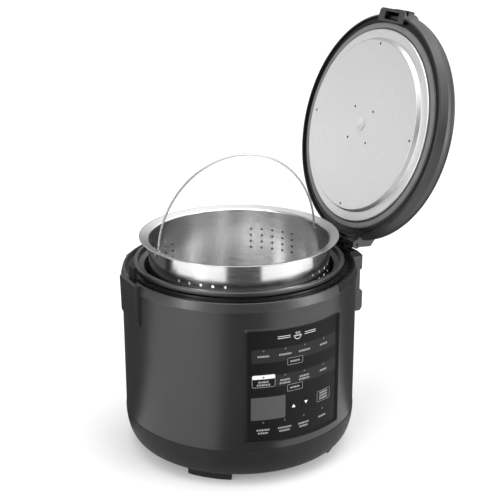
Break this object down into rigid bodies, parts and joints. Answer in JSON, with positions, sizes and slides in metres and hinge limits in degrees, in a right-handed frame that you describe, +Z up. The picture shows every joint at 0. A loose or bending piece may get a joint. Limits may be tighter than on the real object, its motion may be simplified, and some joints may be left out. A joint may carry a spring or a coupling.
{
  "type": "electric multicooker",
  "caption": "Round countertop multicooker: hinged lid, lift-out pot, steamer basket with wire bail, curved control panel and four feet.",
  "frame": {"origin": "on the floor plane, on the pot's vertical axis, midway between the four feet", "axes": "+Z up, control panel towards -Y, lid hinge towards +X, lid latch towards -X"},
  "size_m": [0.376, 0.2758, 0.4986],
  "materials": {
    "base_plastic": "fine satin texture",
    "cover_plastic": "fine texture",
    "screw_steel": "plated steel",
    "foot_rubber": "matt",
    "shell_paint": "satin charcoal metallic",
    "collar_paint": "satin charcoal metallic",
    "deck_gloss": "gloss black",
    "liner_metal": "mill finish",
    "heater_alloy": "cast and machined",
    "element_steel": "dull oxide",
    "ceramic": "matt ceramic",
    "spring_steel": "bright wire",
    "inlet_plastic": "matt black",
    "contact_brass": "plated",
    "board_green": "solder mask",
    "board_component": "moulded parts",
    "cable_black": "sleeved cable",
    "panel_frame_paint": "satin charcoal",
    "panel_gloss": "smooth satin black",
    "display_grey": "smoked window",
    "key_gloss": "smooth satin black",
    "light_pipe": "frosted",
    "hinge_black": "satin black",
    "pot_coating": "satin non-stick coat",
    "basket_steel": "fine circular brush",
    "bail_steel": "polished wire",
    "lid_paint": "satin charcoal metallic",
    "gasket_silicone": "matt silicone",
    "plate_alloy": "bead-blasted satin",
    "knob_silicone": "matt silicone"
  },
  "bodies": {
    "cooker_body": {"base_housing": "base_plastic", "bottom_cover": "cover_plastic", "cover_screws": "screw_steel", "foot_front_left": "foot_rubber", "foot_front_right": "foot_rubber", "foot_back_left": "foot_rubber", "foot_back_right": "foot_rubber", "body_shell": "shell_paint", "collar_ring": "collar_paint", "deck_ring": "deck_gloss", "liner_can": "liner_metal", "heating_plate": "heater_alloy", "heater_element": "element_steel", "heater_posts": "ceramic", "thermal_fuse": "ceramic", "sensor_bracket": "liner_metal", "sensor_spring": "spring_steel", "mains_inlet": "inlet_plastic", "inlet_pins": "contact_brass", "power_board": "board_green", "board_parts": "board_component", "panel_loom": "cable_black", "panel_frame": "panel_frame_paint", "panel_overlay": "panel_gloss", "display_window": "display_grey", "display_module": "board_component", "control_board": "board_green", "key_switches": "board_component", "light_pipes": "light_pipe", "latch_boss": "shell_paint", "strike_post": "hinge_black", "hinge_housing": "shell_paint", "hinge_bracket": "hinge_black", "hinge_screws": "screw_steel", "hinge_pin": "screw_steel", "lid_spring": "spring_steel", "side_grip_left": "hinge_black", "side_grip_right": "hinge_black"},
    "lid": {"lid_shell": "lid_paint", "lid_frame": "deck_gloss", "lid_gasket": "gasket_silicone", "lid_hinge": "lid_paint", "lid_screws": "screw_steel", "vent_tube": "gasket_silicone", "latch_spring": "spring_steel"},
    "inner_plate": {"inner_plate": "plate_alloy", "plate_knob": "knob_silicone"},
    "latch": {"release_button": "hinge_black", "latch_slider": "liner_metal"},
    "vent_cap": {"vent_cap": "hinge_black"},
    "pot": {"inner_pot": "pot_coating"},
    "basket": {"basket": "basket_steel"},
    "bail": {"basket_bail": "bail_steel"},
    "condensation_cup": {"condensation_cup": "shell_paint"},
    "sensor": {"sensor_plunger": "heater_alloy"},
    "key_grain": {"key_grain": "key_gloss"},
    "key_meal": {"key_meal": "key_gloss"},
    "key_up": {"key_up": "key_gloss"},
    "key_down": {"key_down": "key_gloss"},
    "key_start": {"key_start": "key_gloss"}
  },
  "joints": [
    {"name": "lid_hinge", "type": "hinge", "parent": "cooker_body", "child": "lid", "pos_m": [0.138, 0, 0.231], "axis": [0, 1, 0], "range_deg": [-105, 0]},
    {"name": "pot_lift", "type": "slide", "parent": "cooker_body", "child": "pot", "axis": [0, 0, 1], "range_m": [0, 0.19]},
    {"name": "basket_lift", "type": "slide", "parent": "pot", "child": "basket", "axis": [0, 0, 1], "range_m": [-0.0321, 0]},
    {"name": "bail_fold", "type": "hinge", "parent": "basket", "child": "bail", "pos_m": [0, 0, 0.2466], "axis": [1, 0, 0], "range_deg": [-95.5, 0]},
    {"name": "inner_plate_pull", "type": "slide", "parent": "lid", "child": "inner_plate", "axis": [-0.9659, 0, 0.2588], "range_m": [0, 0.012]},
    {"name": "vent_cap_lift", "type": "slide", "parent": "lid", "child": "vent_cap", "axis": [0.9659, 0, -0.2588], "range_m": [0, 0.02]},
    {"name": "latch_press", "type": "slide", "parent": "lid", "child": "latch", "axis": [-0.2588, 0, -0.9659], "range_m": [0, 0.0024], "stiffness_N_per_m": 900, "springref_m": -0.002, "deforming": ["latch_spring"]},
    {"name": "condensation_cup_slide", "type": "slide", "parent": "cooker_body", "child": "condensation_cup", "axis": [1, 0, 0], "range_m": [0, 0.03]},
    {"name": "sensor_press", "type": "slide", "parent": "cooker_body", "child": "sensor", "axis": [0, 0, 1], "range_m": [-0.002, 0], "stiffness_N_per_m": 400, "springref_m": 0.004, "deforming": ["sensor_spring"]},
    {"name": "key_grain_press", "type": "slide", "parent": "cooker_body", "child": "key_grain", "axis": [0.0209, 0.9998, 0], "range_m": [0, 0.0006], "stiffness_N_per_m": 400, "springref_m": -0.0006},
    {"name": "key_meal_press", "type": "slide", "parent": "cooker_body", "child": "key_meal", "axis": [0.0192, 0.9998, 0], "range_m": [0, 0.0006], "stiffness_N_per_m": 400, "springref_m": -0.0006},
    {"name": "key_up_press", "type": "slide", "parent": "cooker_body", "child": "key_up", "axis": [0.0314, 0.9995, 0], "range_m": [0, 0.0006], "stiffness_N_per_m": 400, "springref_m": -0.0006},
    {"name": "key_down_press", "type": "slide", "parent": "cooker_body", "child": "key_down", "axis": [-0.0889, 0.996, 0], "range_m": [0, 0.0006], "stiffness_N_per_m": 400, "springref_m": -0.0006},
    {"name": "key_start_press", "type": "slide", "parent": "cooker_body", "child": "key_start", "axis": [-0.2798, 0.96, 0], "range_m": [0, 0.0006], "stiffness_N_per_m": 400, "springref_m": -0.0006}
  ],
  "couplings": [
    {"joint": "basket_lift", "follows": "lid_hinge", "m_per_rad": 0.017462},
    {"joint": "bail_fold", "follows": "lid_hinge", "ratio": 0.90476}
  ]
}
